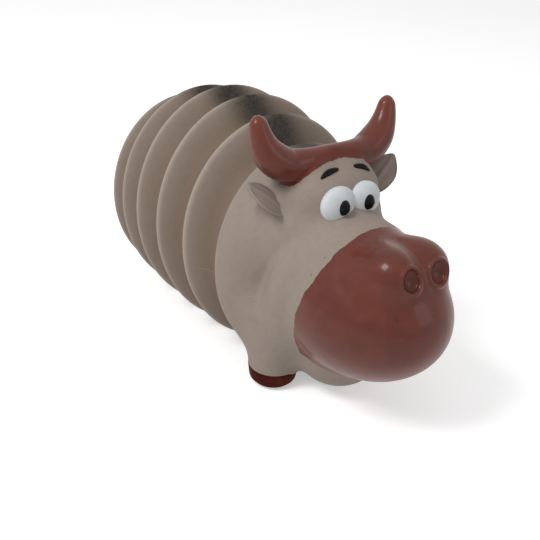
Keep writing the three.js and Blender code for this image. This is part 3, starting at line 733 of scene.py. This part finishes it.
for node, profile in squeaker_profiles.items():
    crisp = rounded(profile, CRISP_EDGE)
    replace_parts(lathe(node + "_turned", crisp, squeaker_at, backwards, "rump", True), node)
print("squeaker flange across in mm:", 2 * FLANGE_RADIUS)

# %% [markdown]
# Eyes and pupils are raised drops of thick enamel, a little flattened, that touch over the
# bridge. A ball scaled on three axes gives them. The ears are leaves with a thick rim, rolled back
# so that their scoop faces forwards and up, and they are bent from the same ball. A thin sheet
# with Solidify would be an ear too, but the moulded one is thick in its middle.

# %% Ears, eyes and pupils
EGG_ROWS = 60
POLE_ANGLE = 0.04
EAR_LENGTH, EAR_WIDTH, EAR_THICK, EAR_SUNK = 20.0, 12.6, 5.0, 2.0
EAR_ROLL = math.radians(60)
EYE_SIZE, EYE_AT = (14.9, 7.6, 13.3), on_head((0.077, -0.393, 0.388))
PUPIL_SIZE, PUPIL_AT = (5.9, 10.0, 7.1), on_head((0.076, -0.4, 0.384))
LEAF_NARROWING = 0.5
SCOOP_EDGE, SCOOP_LENGTH, SCOOP_POWER = 2.2, 0.85, 6
STEP_AT, STEP_SOFTNESS, STEP_DEPTH = 0.12, 0.12, 0.6
RIM_AT, RIM_WIDTH, RIM_HEIGHT = -0.15, 0.14, 0.3


def egg_object(name, centre, axes, shape=None):
    """A unit ball, bent by shape, whose x, y and z then follow the three half axes."""
    polar = np.linspace(POLE_ANGLE, math.pi - POLE_ANGLE, EGG_ROWS)[:, None]
    turn = 2 * np.pi * np.arange(ROUND)[None, :] / ROUND
    ball = np.stack([np.cos(polar) * np.ones_like(turn), np.sin(polar) * np.cos(turn),
                     np.sin(polar) * np.sin(turn)], axis=-1).reshape(-1, 3)
    ball = np.concatenate([ball, [[1.0, 0, 0], [-1.0, 0, 0]]])
    points = centre + (shape(ball) if shape else ball) @ np.asarray(axes)
    return make_object(name, points, outward(points, grid_faces(EGG_ROWS, ROUND, True, True)), "head")


def leaf(p):
    """Narrower by a share of x^2 to the tip; the lower front sinks by 1 / (1 + e^z), less a rim."""
    x, y, z = p.T
    front = np.clip(-y * SCOOP_EDGE, 0, 1) * np.exp(-(x / SCOOP_LENGTH) ** SCOOP_POWER)
    step = 1 / (1 + np.exp((z - STEP_AT) / STEP_SOFTNESS))
    rim = np.exp(-((z - RIM_AT) / RIM_WIDTH) ** 2)
    return np.stack([x, y + front * (STEP_DEPTH * step - RIM_HEIGHT * rim),
                     z * (1 - LEAF_NARROWING * np.clip(x, 0, 1) ** 2)], axis=1)


ear_root, ear_tip = on_head((0.27, -0.21, 0.352)), on_head((0.47, -0.185, 0.512))
ear_along = (ear_tip - ear_root) / np.linalg.norm(ear_tip - ear_root)
ear_up = np.cross((0, 1.0, 0), ear_along)
ear_up *= np.sign(ear_up[2]) / np.linalg.norm(ear_up)
ear_back = np.cross(ear_up, ear_along)
ear_back *= np.sign(ear_back[1])
ear_up, ear_back = (ear_up * math.cos(EAR_ROLL) + ear_back * math.sin(EAR_ROLL),
                    ear_back * math.cos(EAR_ROLL) - ear_up * math.sin(EAR_ROLL))
ear_centre = ear_root + ear_along * (EAR_LENGTH / 2 - EAR_SUNK)
ear_axes = np.stack([ear_along * EAR_LENGTH, ear_back * EAR_THICK, ear_up * EAR_WIDTH]) / 2
for side, flip in sides:
    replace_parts(egg_object("ear_leaf_" + side, ear_centre * flip, ear_axes * flip, leaf), "ear_" + side)
    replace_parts(egg_object("eye_lens_" + side, EYE_AT * flip, np.diag(EYE_SIZE) / 2), "eye_white_" + side)
    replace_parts(egg_object("pupil_bead_" + side, PUPIL_AT * flip, np.diag(PUPIL_SIZE) / 2), "pupil_" + side)

# %% [markdown]
# The brows are short strokes of black enamel laid on the brow ridge. Each follows three points
# cast onto the skin, so it lies on the form, and its ends are rounded as a brush leaves them.
# They were painted by hand, and both sit about a millimetre to the toy's left.

# %% Brows
BROW_POINTS = 40
BROW_SHARES = ((0.046, -0.331, 0.534), (0.103, -0.33, 0.522), (0.152, -0.334, 0.5))
BROW_RADII = np.array([0.75, 1.1, 0.5])
BROW_SHIFT = np.array([1.1, 0, 0])
BROW_END_POWER, BROW_LEAST = 8, 0.002
brow_ends = np.sqrt(np.clip(1 - np.linspace(-1, 1, BROW_POINTS) ** BROW_END_POWER, BROW_LEAST, 1))
for side, flip in sides:
    on_skin = cast(on_head(BROW_SHARES) * flip + BROW_SHIFT - cast_centre)
    brow_path, brow_size = smooth_path(on_skin, BROW_RADII, BROW_POINTS)
    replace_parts(tube("brow_stroke_" + side, brow_path, brow_size * brow_ends, "head"), "brow_" + side)

# %% [markdown]
# Materials are built from nodes. One function adds any node. Colours are written as sRGB hex and
# turned to linear light. A pattern's scale is one over its real size, because Object coordinates
# are in metres here.

# %% Node helpers
def colour(code):
    """sRGB to linear: c / 12.92 when dark, otherwise ((c + 0.055) / 1.055)^2.4."""
    channels = [int(code[i:i + 2], 16) / 255 for i in (1, 3, 5)]
    return [c / 12.92 if c <= 0.04045 else ((c + 0.055) / 1.055) ** 2.4 for c in channels] + [1]


def scale_for(size):
    """The texture scale whose patches are about this many millimetres: 1 / (size * MM)."""
    return 1 / (size * MM)


def connect(tree, node, inputs):
    """Gives each input socket a value, or a link where the value is another node's output."""
    for place, value in inputs.items():
        if isinstance(value, bpy.types.NodeSocket):
            tree.links.new(value, node.inputs[place])
        else:
            node.inputs[place].default_value = value


def add(tree, kind, inputs=None, **settings):
    """Adds one node with its settings and links."""
    node = tree.nodes.new("ShaderNode" + kind)
    for name, value in settings.items():
        setattr(node, name, value)
    connect(tree, node, inputs or {})
    return node


print("dark half of sRGB in linear light:", round(colour("#808080")[0], 3))

# %% [markdown]
# Three things recur in hand-finished rubber: patches of slightly other colour, small flecks of
# stray paint, and a fine unevenness of the surface. Each gets a function that lays it over what
# is there already, with sizes and heights in real millimetres.

# %% Patches, flecks and relief
FLECK_CORE, FLECK_RARITY = 0.6, 0.94
NOISE_LOW, NOISE_HIGH = 0.3, 0.7


def mottled(tree, tone, layers):
    """Once a layer: tone + w (colour - tone), w = most * clip((noise - low) / (high - low))."""
    where = add(tree, "TexCoord").outputs["Object"]
    for size, low, high, most, code in layers:
        cloud = add(tree, "TexNoise", {"Vector": where, "Scale": scale_for(size), "Detail": 4.0})
        weight = add(tree, "MapRange", {"Value": cloud.outputs["Fac"], "From Min": low,
                                        "From Max": high, "To Max": most})
        tone = add(tree, "Mix", {0: weight.outputs[0], 6: tone, 7: colour(code)},
                   data_type="RGBA").outputs[2]
    return tone


def flecked(tree, tone, apart, size, most, code, seed):
    """Cells about apart mm across; in one of sixteen, a dot where distance is below size."""
    where = add(tree, "Mapping", {"Vector": add(tree, "TexCoord").outputs["Object"],
                                  "Location": (seed, 2 * seed, 3 * seed)})
    cells = add(tree, "TexVoronoi", {"Vector": where.outputs[0], "Scale": scale_for(apart)})
    dot = add(tree, "MapRange", {"Value": cells.outputs["Distance"], "From Min": size,
                                 "From Max": size * FLECK_CORE, "To Max": most})
    number = add(tree, "SeparateColor", {"Color": cells.outputs["Color"]})
    chosen = add(tree, "Math", {0: number.outputs[0], 1: FLECK_RARITY}, operation="GREATER_THAN")
    weight = add(tree, "Math", {0: dot.outputs[0], 1: chosen.outputs[0]}, operation="MULTIPLY")
    return add(tree, "Mix", {0: weight.outputs[0], 6: tone, 7: colour(code)}, data_type="RGBA").outputs[2]


def relief(tree, layers, height=None):
    """Bumps stacked on each other: noise of each grain size times its height, both in mm."""
    normal = None
    where = add(tree, "TexCoord").outputs["Object"]
    for size, depth in layers:
        grain = add(tree, "TexNoise", {"Vector": where, "Scale": scale_for(size), "Detail": 3.0})
        inputs = {"Height": grain.outputs["Fac"], "Distance": depth * MM, "Strength": 1.0}
        if normal:
            inputs["Normal"] = normal
        normal = add(tree, "Bump", inputs).outputs[0]
    if height:
        normal = add(tree, "Bump", {"Height": height[0], "Distance": height[1] * MM, "Strength": 1.0,
                                    "Normal": normal}).outputs[0]
    return normal


def uneven(tree, size, low, high):
    """A number that wanders between low and high in patches of the given size."""
    cloud = add(tree, "TexNoise", {"Vector": add(tree, "TexCoord").outputs["Object"],
                                   "Scale": scale_for(size)})
    return add(tree, "MapRange", {"Value": cloud.outputs["Fac"], "From Min": NOISE_LOW,
                                  "From Max": NOISE_HIGH, "To Min": low, "To Max": high}).outputs[0]


def finish(name):
    """A new material with its node tree and its Principled shader."""
    material = bpy.data.materials.new(name)
    material.use_nodes = True
    return material, material.node_tree, material.node_tree.nodes["Principled BSDF"]


print("scale of 2.4 mm patches:", round(scale_for(2.4)))

# %% [markdown]
# The brown is latex paint, brushed on and cured: satin, slightly uneven where the brush turned,
# with soft wide highlights and a dusty sheen at its edges. It is used on the muzzle, on the crown
# and on the horns, whose tips are a little warmer; on the hooves it is rubbed dull. Its grain is
# 1 to 14 mm, the size of brush marks.

# %% Brushed satin brown
BROWN_MID = "#602A1F"
BROWN_PATCHES = ((14.0, 0.35, 0.65, 0.7, "#51231A"), (5.0, 0.45, 0.75, 0.35, "#6E382C"))
SATIN = {"Specular IOR Level": 0.12, "Coat Weight": 0.27, "Coat Roughness": 0.15,
         "Sheen Weight": 0.16, "Sheen Roughness": 0.5, "Sheen Tint": colour("#FFD9CC")}
BRUSH_MARKS = ((8.0, 0.25), (1.1, 0.03))
WARM_FROM, WARM_TO = 92 * MM, 110 * MM


def brown_tone(tree):
    """The brown with its brush patches and a few dark flecks of dried paint."""
    return flecked(tree, mottled(tree, colour(BROWN_MID), BROWN_PATCHES), 4.0, 0.22, 0.5, "#40201A", 0.4)


brown, tree, shader = finish("brushed_satin_brown_latex_paint")
connect(tree, shader, SATIN)
connect(tree, shader, {"Base Color": brown_tone(tree), "Roughness": uneven(tree, 5.0, 0.36, 0.48),
                       "Normal": relief(tree, BRUSH_MARKS)})

horn_brown, tree, shader = finish("brushed_satin_horn_paint")
height = add(tree, "SeparateXYZ", {"Vector": add(tree, "TexCoord").outputs["Object"]}).outputs[2]
to_tip = add(tree, "MapRange", {"Value": height, "From Min": WARM_FROM, "From Max": WARM_TO,
                                "To Max": 0.8})
warm = add(tree, "Mix", {0: to_tip.outputs[0], 6: brown_tone(tree), 7: colour("#6C3423")},
           data_type="RGBA").outputs[2]
connect(tree, shader, SATIN)
connect(tree, shader, {"Base Color": warm, "Roughness": uneven(tree, 5.0, 0.34, 0.46),
                       "Normal": relief(tree, ((5.5, 0.2), (1.1, 0.03)))})

hoof_brown, tree, shader = finish("worn_brown_hoof_paint")
connect(tree, shader, {
    "Base Color": mottled(tree, brown_tone(tree), ((6.0, 0.3, 0.55, 0.9, "#3D150D"),)),
    "Roughness": uneven(tree, 5.0, 0.5, 0.6), "Specular IOR Level": 0.02,
    "Normal": relief(tree, BRUSH_MARKS)})
print(brown.name, horn_brown.name, hoof_brown.name)

# %% [markdown]
# The skin is natural latex, dip-moulded, coloured in the mass and dusted with talc, so it is
# matte and faintly cloudy. The real talc grain is under 0.1 mm, too fine to show, so it is drawn
# at 0.7 mm. The stripe is black overspray, whose edge breaks up into dots of about 1.4 mm.

# %% Dusted beige latex
LATEX_MID = "#8E8177"
LATEX_PATCHES = ((36.0, 0.35, 0.65, 0.8, "#958980"), (2.4, 0.42, 0.7, 0.2, "#7D7065"))
SEAM_SHARP = 0.93
# Dust with painted shade darkens the valleys, a painted highlight lightens the crests, and the mould's seam
# is a real pale line.
FORM_TINTS = (("hollow", 0.0, 1.0, 0.75, "#665241"), ("rubbed", 0.0, 1.0, 0.4, "#B9ADA2"),
              ("seam", SEAM_SHARP, 0.98, 0.3, "#A99E94"))
CROWN_PAINT_REACH = 1.4
CROWN_EDGE, CROWN_SOFT = 1 - CROWN_PAINT_REACH / CROWN_FADE, 0.015

latex, tree, shader = finish("dusted_dip_moulded_latex")
mark = {name: add(tree, "Attribute", attribute_name=name).outputs["Fac"]
        for name in ("stripe", "hollow", "rubbed", "seam", "crown")}
tone = mottled(tree, colour(LATEX_MID), LATEX_PATCHES)
# the valleys' dust and painted shade, the crests' painted highlight and the seam are mixed in here
for name, low, high, most, code in FORM_TINTS:
    weight = add(tree, "MapRange", {"Value": mark[name], "From Min": low, "From Max": high, "To Max": most})
    tone = add(tree, "Mix", {0: weight.outputs[0], 6: tone, 7: colour(code)}, data_type="RGBA").outputs[2]
spray = add(tree, "Math", {0: mark["stripe"], 1: uneven(tree, 1.4, 0.82, 1.0)}, operation="MULTIPLY")
tone = add(tree, "Mix", {0: spray.outputs[0], 6: tone, 7: colour("#201E1B")}, data_type="RGBA").outputs[2]
tone = flecked(tree, tone, 4.3, 0.13, 0.5, "#6E4A3E", 0.1)
ragged = add(tree, "Math", {0: mark["crown"], 1: uneven(tree, 2.6, -0.02, 0.02)}, operation="ADD")
painted = add(tree, "MapRange", {"Value": ragged.outputs[0], "From Min": CROWN_EDGE - CROWN_SOFT,
                                 "From Max": CROWN_EDGE + CROWN_SOFT}).outputs[0]
tone = add(tree, "Mix", {0: painted, 6: tone, 7: brown_tone(tree)}, data_type="RGBA").outputs[2]
gloss = add(tree, "MapRange", {"Value": painted, "To Min": 0.66, "To Max": 0.42})
line = add(tree, "MapRange", {"Value": mark["seam"], "From Min": SEAM_SHARP, "From Max": 1.0})
connect(tree, shader, {
    "Base Color": tone, "Roughness": gloss.outputs[0], "Specular IOR Level": 0.22,
    "Normal": relief(tree, ((6.0, 0.22), (0.7, 0.05)), (line.outputs[0], 0.08))})
print(latex.name, "with marks", sorted(mark))

# %% [markdown]
# Eye whites and pupils are thick enamel, dabbed on: the white has dried nearly matte and a little
# grey, the black is glossy and pools in soft ripples about 4 mm long.

# %% White and black enamel
white, tree, shader = finish("dabbed_white_enamel")
connect(tree, shader, {
    "Base Color": mottled(tree, colour("#CDD1D4"), ((3.8, 0.4, 0.75, 0.5, "#BCC0C3"),)),
    "Roughness": 0.5, "Specular IOR Level": 0.25, "Normal": relief(tree, ((4.5, 0.2),))})

black, tree, shader = finish("dabbed_black_enamel")
connect(tree, shader, {
    "Base Color": mottled(tree, colour("#0E0D0E"), ((3.3, 0.4, 0.7, 1.0, "#1A191B"),)),
    "Roughness": uneven(tree, 3.8, 0.18, 0.28), "Specular IOR Level": 0.08,
    "Normal": relief(tree, ((4.2, 0.3),))})
print(white.name, black.name)

# %% [markdown]
# The squeaker is injection-moulded polyethylene, milky and slightly waxy, with flow marks about
# 11 mm long. The reed is rolled brass strip; its rolling grain, really about 0.02 mm, is drawn at
# 1 mm so that it shows at all.

# %% Squeaker plastic and brass
plastic, tree, shader = finish("milky_moulded_polyethylene")
connect(tree, shader, {
    "Base Color": mottled(tree, colour("#DEDDD6"), ((11.0, 0.3, 0.7, 1.0, "#CFCEC6"),)),
    "Roughness": uneven(tree, 4.0, 0.34, 0.44), "Specular IOR Level": 0.45,
    "Normal": relief(tree, ((1.2, 0.03),))})

brass, tree, shader = finish("rolled_brass_strip")
connect(tree, shader, {
    "Base Color": mottled(tree, colour("#B8944E"), ((2.0, 0.3, 0.7, 1.0, "#9C7A3A"),)),
    "Metallic": 1.0, "Roughness": uneven(tree, 1.0, 0.28, 0.42), "Normal": relief(tree, ((1.0, 0.01),))})
print(plastic.name, brass.name)

# %% [markdown]
# Each piece now gets its material; the slot in the record that each material stands for is only printed.
# The reed is the CAD's own solid: its shape is right, so only its material changes.

# %% Dressing
DRESS = (
    (latex, "latex_beige", ("front_skin", "fold_skin", "rump_skin", "tail_skin", "ear_leaf")),
    (brown, "paint_brown", ("muzzle_skin",)),
    (hoof_brown, "paint_brown", ("hoof_",)),
    (horn_brown, "paint_brown", ("horn_paint",)),
    (white, "paint_white", ("eye_lens",)),
    (black, "paint_black", ("pupil_bead", "brow_stroke")),
    (plastic, "squeaker_plastic", ("squeaker_cup_", "squeaker_lid_", "reed_seat_")),
)
for material, slot, starts in DRESS:
    wearers = [obj for obj in bpy.data.objects if obj.type == "MESH" and obj.name.startswith(starts)
               and obj.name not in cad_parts]
    for obj in wearers:
        obj.data.materials.append(material)
    print(slot, "on", len(wearers), "pieces")
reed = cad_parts["reed"]
reed.data.materials.clear()
reed.data.materials.append(brass)

# %% [markdown]
# The camera was worked out from the photograph: it stands in front of the toy, to its right and
# above. It is written in the moulding's own millimetres and turned into the frame as the pieces
# are, so the two can't drift apart.

# %% Camera
CAMERA_AT = np.array([-177.75, -235.44, 121.77])
CAMERA_AXES = ((0.8218, -0.5697, 0.0), (0.2299, 0.3316, 0.9150), (-0.5213, -0.7520, 0.4035))
FOCAL_PIXELS = 800.4
PHOTO_PIXELS = 540
SENSOR_WIDTH = 36

camera_data = bpy.data.cameras.new("camera")
camera_data.sensor_width = SENSOR_WIDTH
camera_data.lens = SENSOR_WIDTH * FOCAL_PIXELS / PHOTO_PIXELS
camera = bpy.data.objects.new("camera", camera_data)
bpy.context.scene.collection.objects.link(camera)
turn = Matrix([Vector(turned(axis)) for axis in CAMERA_AXES]).transposed().to_4x4()
camera.matrix_world = Matrix.Translation(Vector(turned(CAMERA_AT) * MM + SHIFT)) @ turn
bpy.context.scene.camera = camera
print("camera at", [round(v, 3) for v in camera.location], "lens", round(camera_data.lens, 1))

# %% [markdown]
# The floor is plain pale card. It lights the toy's underside as card does, and keeps its shadow.
# To look white without more light on the toy, it glows a little, but only for rays from the
# camera, from reflections and through glass. The world does the same, and is dimmer otherwise.

# %% Floor and world
FLOOR_HALF = 3.0
FLOOR_DROP = 0.2
FLOOR_GLOW = 0.4
WORLD_LIGHT = 0.46


def seen_rays(tree):
    """1 for camera, glossy and transmission rays and 0 for the rest: the greatest of the three."""
    rays = add(tree, "LightPath").outputs
    seen = add(tree, "Math", {0: rays["Is Camera Ray"], 1: rays["Is Glossy Ray"]}, operation="MAXIMUM")
    return add(tree, "Math", {0: seen.outputs[0], 1: rays["Is Transmission Ray"]},
               operation="MAXIMUM").outputs[0]


floor_mesh = bpy.data.meshes.new("floor")
corners = [(x * FLOOR_HALF, y * FLOOR_HALF, -FLOOR_DROP * MM)
           for x, y in ((-1, -1), (1, -1), (1, 1), (-1, 1))]
floor_mesh.from_pydata(corners, [], [(0, 1, 2, 3)])
floor = bpy.data.objects.new("floor", floor_mesh)
bpy.context.scene.collection.objects.link(floor)
card, tree, shader = finish("pale_card")
glow = add(tree, "Math", {0: seen_rays(tree), 1: FLOOR_GLOW}, operation="MULTIPLY")
connect(tree, shader, {
    "Base Color": mottled(tree, colour("#FAFAFA"), ((330.0, 0.3, 0.7, 1.0, "#F6F6F6"),)),
    "Roughness": 0.9, "Specular IOR Level": 0.1, "Emission Color": (1, 1, 1, 1),
    "Emission Strength": glow.outputs[0]})
floor_mesh.materials.append(card)

world = bpy.data.worlds.new("studio")
world.use_nodes = True
bright = add(world.node_tree, "MapRange", {"Value": seen_rays(world.node_tree), "To Min": WORLD_LIGHT})
connect(world.node_tree, world.node_tree.nodes["Background"],
        {"Color": (1, 1, 1, 1), "Strength": bright.outputs[0]})
bpy.context.scene.world = world
bpy.context.scene.view_settings.view_transform = "Standard"
print("floor", 2 * FLOOR_HALF, "m across; world light", WORLD_LIGHT)

# %% [markdown]
# The photograph's light is soft: a large source up on the toy's right, a wide one overhead, and
# a weak one in front. Sun lamps would give hard edges, so these are square area lamps, whose
# size sets how soft each shadow and how wide each highlight is.

# %% Lamps
LAMPS = (
    ("left_box", (-0.53, 0.0, 0.65), 0.26, 3.5),
    ("overhead", (-0.04, -0.1, 0.9), 1.0, 0.6),
    ("front_fill", (0.3, -0.75, 0.4), 0.4, 0.7),
)
LAMP_TARGET = Vector((0, -0.02, 0.05))
for name, place, size, power in LAMPS:
    data = bpy.data.lights.new(name, "AREA")
    data.size = size
    data.energy = power
    lamp = bpy.data.objects.new(name, data)
    lamp.location = place
    lamp.rotation_euler = (LAMP_TARGET - Vector(place)).to_track_quat("-Z", "Y").to_euler()
    bpy.context.scene.collection.objects.link(lamp)
    print(name, power, "W")
